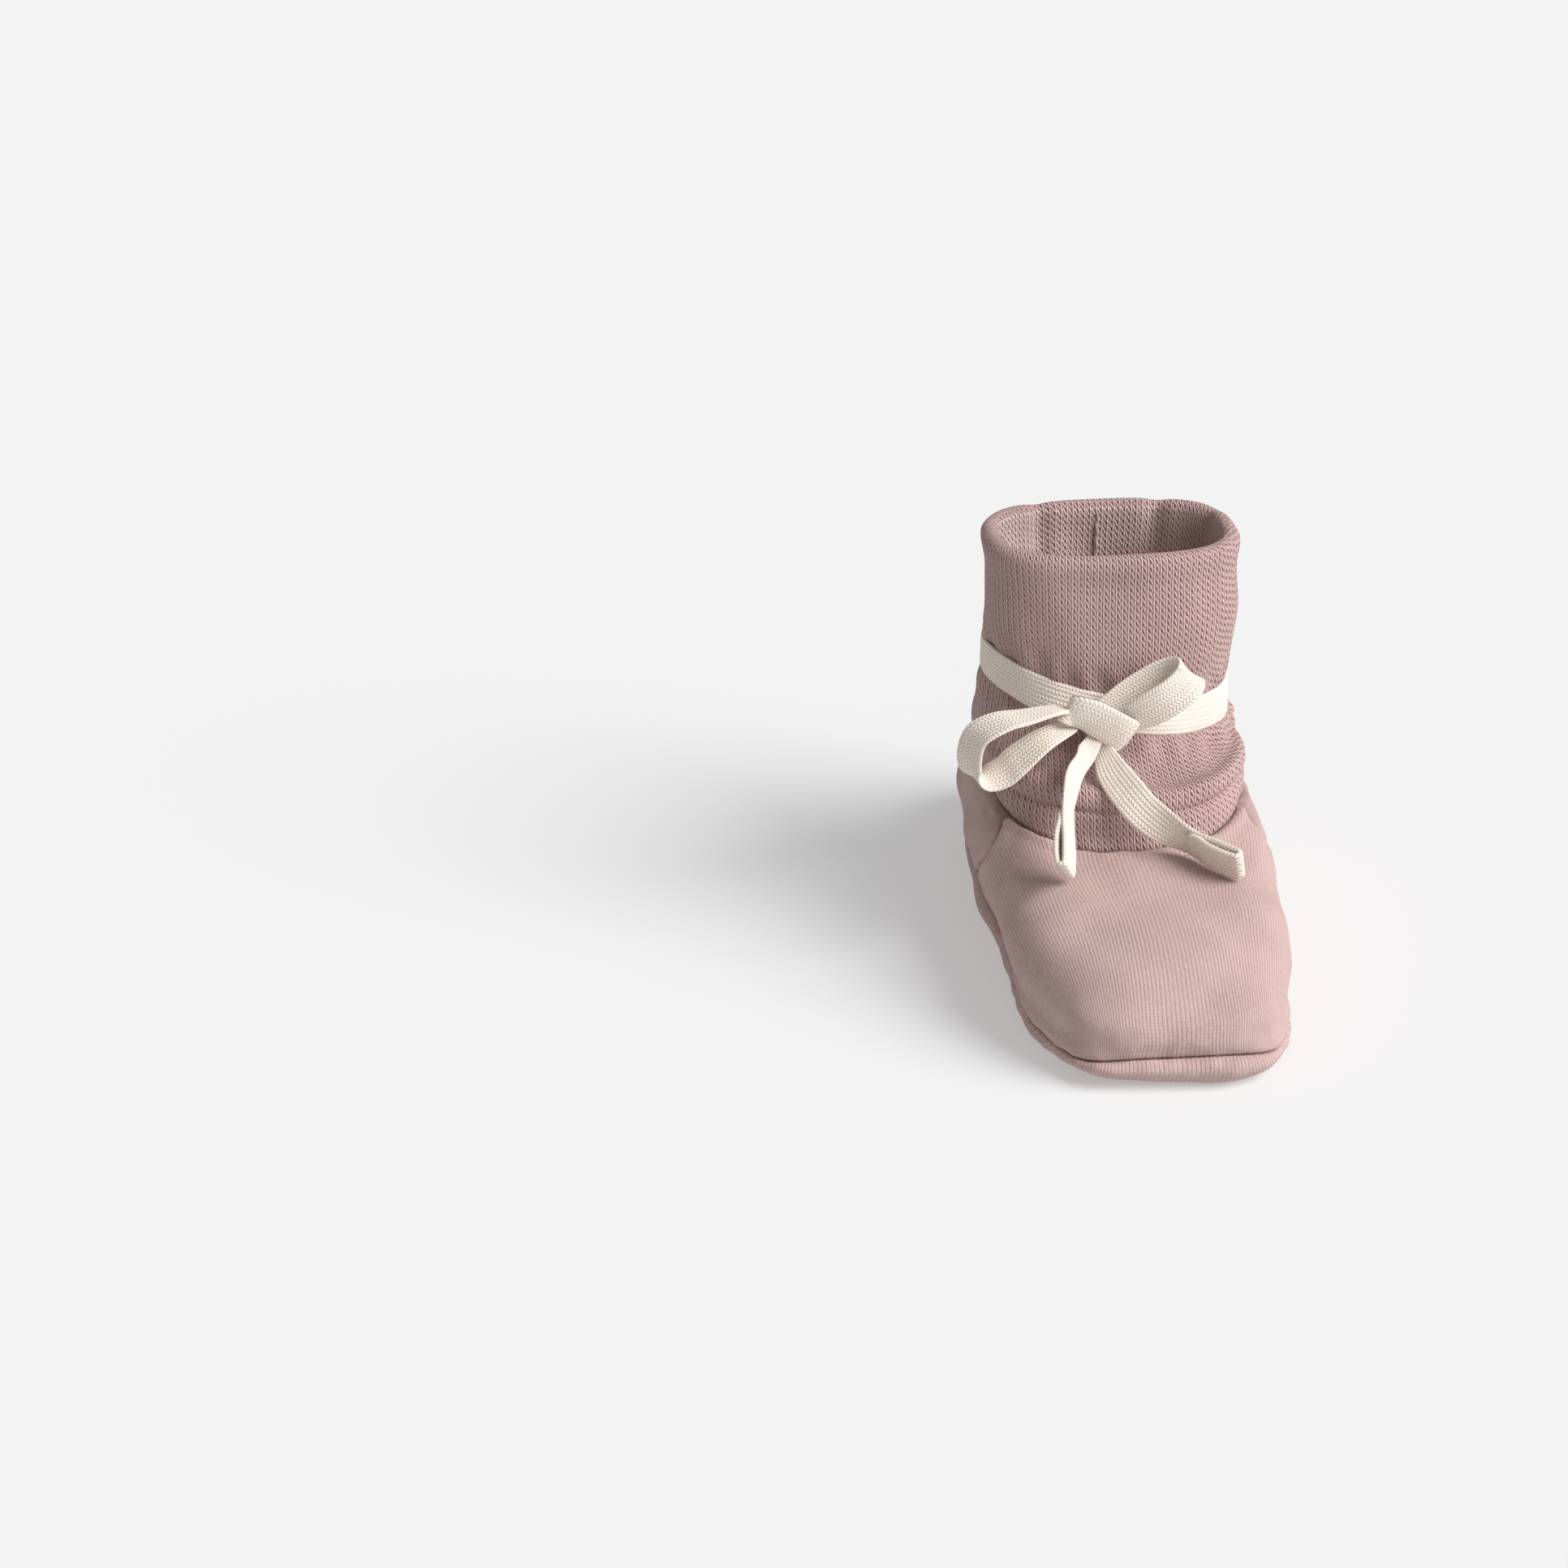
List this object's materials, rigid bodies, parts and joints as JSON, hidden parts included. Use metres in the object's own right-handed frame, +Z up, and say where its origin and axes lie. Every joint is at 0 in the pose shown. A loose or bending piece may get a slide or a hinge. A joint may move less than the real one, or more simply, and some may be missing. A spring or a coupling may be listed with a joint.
{
  "type": "baby bootie",
  "caption": "Soft knitted baby bootie: gathered foot, tall ribbed cuff that leans at the ankle, and a flat tape tied in a bow round it.",
  "frame": {"origin": "on the floor, at the middle of the bootie's length and width", "axes": "+Z up, -Y towards the toe, +Y towards the heel, +X towards the wearer's left side when the toe points at the viewer"},
  "size_m": [0.0532, 0.1105, 0.0661],
  "materials": {
    "jersey": "matt melange cotton jersey, dusty mauve",
    "lining": "matt cotton jersey lining",
    "rib": "matt ribbed cotton knit, dusty mauve",
    "thread": "matt sewing thread",
    "tape": "matt undyed cotton herringbone tape",
    "tape_thread": "satin cotton thread, undyed"
  },
  "bodies": {
    "foot": {"sole_panel": "jersey", "insole": "lining", "vamp_panel": "jersey", "vamp_lining": "lining", "heel_panel": "jersey", "heel_lining": "lining", "sole_seam": "thread", "side_seam_left": "thread", "side_seam_right": "thread", "cuff_seam": "thread", "cuff_lower": "rib", "cuff_bend": "rib", "tie_band": "tape", "tie_tack": "tape_thread", "tie_knot": "tape", "sole_motif": "tape_thread"},
    "cuff": {"cuff_upper": "rib", "cuff_back_seam": "thread"},
    "bow_loop_left": {"loop_left": "tape"},
    "bow_loop_right": {"loop_right": "tape"},
    "bow_tail_left": {"tail_left": "tape", "hem_stitch_left": "tape_thread"},
    "bow_tail_right": {"tail_right": "tape", "hem_stitch_right": "tape_thread"}
  },
  "joints": [
    {"name": "cuff_lean", "type": "hinge", "parent": "foot", "child": "cuff", "pos_m": [0, 0.0192, 0.0475], "axis": [1, 0, 0], "range_deg": [-16, 16], "stiffness_Nm_per_rad": 0.02, "deforming": ["cuff_bend"]},
    {"name": "loop_left_flop", "type": "hinge", "parent": "foot", "child": "bow_loop_left", "pos_m": [-0.0116, -0.003, 0.0406], "axis": [0, 1, 0], "range_deg": [-12, 20], "stiffness_Nm_per_rad": 0.001},
    {"name": "loop_right_flop", "type": "hinge", "parent": "foot", "child": "bow_loop_right", "pos_m": [0.0006, -0.002, 0.0431], "axis": [0, 1, 0], "range_deg": [-15, 15], "stiffness_Nm_per_rad": 0.001},
    {"name": "tail_left_lift", "type": "hinge", "parent": "foot", "child": "bow_tail_left", "pos_m": [-0.006, -0.0042, 0.0366], "axis": [-1, 0, 0], "range_deg": [0, 40]},
    {"name": "tail_right_lift", "type": "hinge", "parent": "foot", "child": "bow_tail_right", "pos_m": [-0.004, -0.0042, 0.0352], "axis": [-1, 0, 0], "range_deg": [0, 45]}
  ]
}
